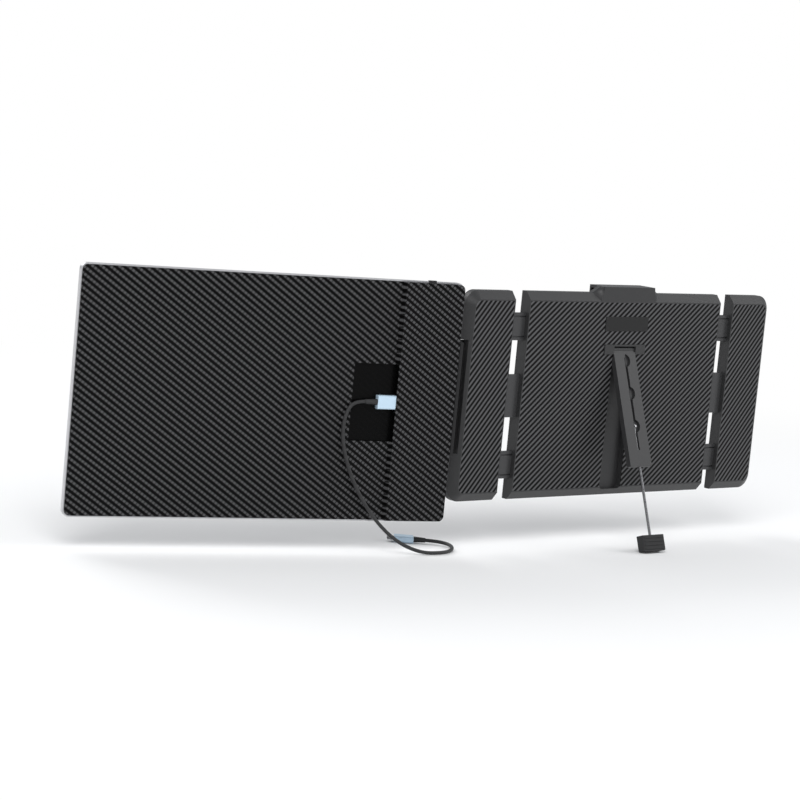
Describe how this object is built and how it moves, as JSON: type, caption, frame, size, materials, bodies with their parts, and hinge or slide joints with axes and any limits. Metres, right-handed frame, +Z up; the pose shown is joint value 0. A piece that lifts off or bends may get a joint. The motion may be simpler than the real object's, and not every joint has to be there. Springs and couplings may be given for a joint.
{
  "type": "laptop screen extender",
  "caption": "Clip-on side screen for a laptop lid: sliding brackets with hooks, a hinged panel, a kickstand with a prop rod, and a plugged-in cable.",
  "frame": {"origin": "middle of the centre body's face that lies on the lid", "axes": "+X right as seen from behind, +Y towards the user, +Z up"},
  "size_m": [0.7485, 0.1641, 0.2397],
  "materials": {
    "frame_plastic": "satin dark grey",
    "front_plastic": "satin dark grey",
    "frame_weave": "glossy woven pattern",
    "panel_weave": "glossy woven pattern",
    "hook_plastic": "satin dark grey",
    "soft_pad": "matt",
    "plain_plate": "satin dark grey",
    "slide_metal": "satin dark grey",
    "stand_plastic": "satin dark grey",
    "pin_steel": "bright",
    "foot_rubber": "matt",
    "hinge_metal": "satin grey",
    "panel_edge": "satin silver",
    "panel_plastic": "matt dark grey",
    "front_glass": "clear",
    "display": "dark, switched off",
    "board": "green board",
    "socket_metal": "bright",
    "button_plastic": "satin dark grey",
    "plug_metal": "satin light blue-grey",
    "nose_metal": "bright",
    "cable_jacket": "dark grey jacket"
  },
  "bodies": {
    "centre": {"centre_back_cover": "frame_plastic", "centre_front_cover": "front_plastic", "centre_carbon_sheet": "frame_weave", "badge_plate": "plain_plate", "top_hook": "hook_plastic", "top_hook_pad": "soft_pad", "lid_rest_pads": "soft_pad", "slide_brake_pads": "soft_pad", "kickstand_hinge_plate": "stand_plastic", "kickstand_pin": "pin_steel"},
    "left_bracket": {"left_back_cover": "frame_plastic", "left_front_cover": "front_plastic", "left_carbon_sheet": "frame_weave", "left_slide_plates": "slide_metal", "left_edge_hooks": "hook_plastic", "left_edge_pads": "soft_pad", "hinge_pins": "pin_steel"},
    "right_bracket": {"right_back_cover": "frame_plastic", "right_front_cover": "front_plastic", "right_carbon_sheet": "frame_weave", "right_slide_plates": "slide_metal", "right_edge_hooks": "hook_plastic", "right_edge_pads": "soft_pad"},
    "screen": {"panel_side_frame": "panel_edge", "panel_back_cover": "panel_plastic", "panel_carbon_sheet": "panel_weave", "strip_carbon_sheet": "panel_weave", "lcd_panel": "display", "screen_glass": "front_glass", "driver_board": "board", "usb_c_sockets": "socket_metal", "hinge_leaf": "hinge_metal", "cable": "cable_jacket", "near_plug_body": "plug_metal", "near_plug_nose": "nose_metal", "near_plug_strain_relief": "cable_jacket", "far_plug_body": "plug_metal", "far_plug_nose": "nose_metal", "far_plug_strain_relief": "cable_jacket"},
    "menu_button": {"menu_button": "button_plastic"},
    "kickstand": {"kickstand_arm": "stand_plastic"},
    "prop_rod": {"prop_rod": "pin_steel", "rubber_foot": "foot_rubber"}
  },
  "joints": [
    {"name": "left_slide", "type": "slide", "parent": "centre", "child": "left_bracket", "axis": [-1, 0, 0], "range_m": [-0.0175, 0.012]},
    {"name": "right_slide", "type": "slide", "parent": "centre", "child": "right_bracket", "axis": [1, 0, 0], "range_m": [-0.0175, 0.012]},
    {"name": "screen_hinge", "type": "hinge", "parent": "left_bracket", "child": "screen", "pos_m": [-0.193, -0.003, 0], "axis": [0, 0, 1], "range_deg": [-164, 71]},
    {"name": "menu_press", "type": "slide", "parent": "screen", "child": "menu_button", "axis": [0, 0, -1], "range_m": [0, 0.0005], "stiffness_N_per_m": 300, "springref_m": -0.0008},
    {"name": "kickstand_hinge", "type": "hinge", "parent": "centre", "child": "kickstand", "pos_m": [0, -0.0093, 0.0425], "axis": [-1, 0, 0], "range_deg": [-18.4, 40]},
    {"name": "rod_slide", "type": "slide", "parent": "kickstand", "child": "prop_rod", "axis": [0, -0.342, -0.9397], "range_m": [-0.062, 0.02]}
  ]
}
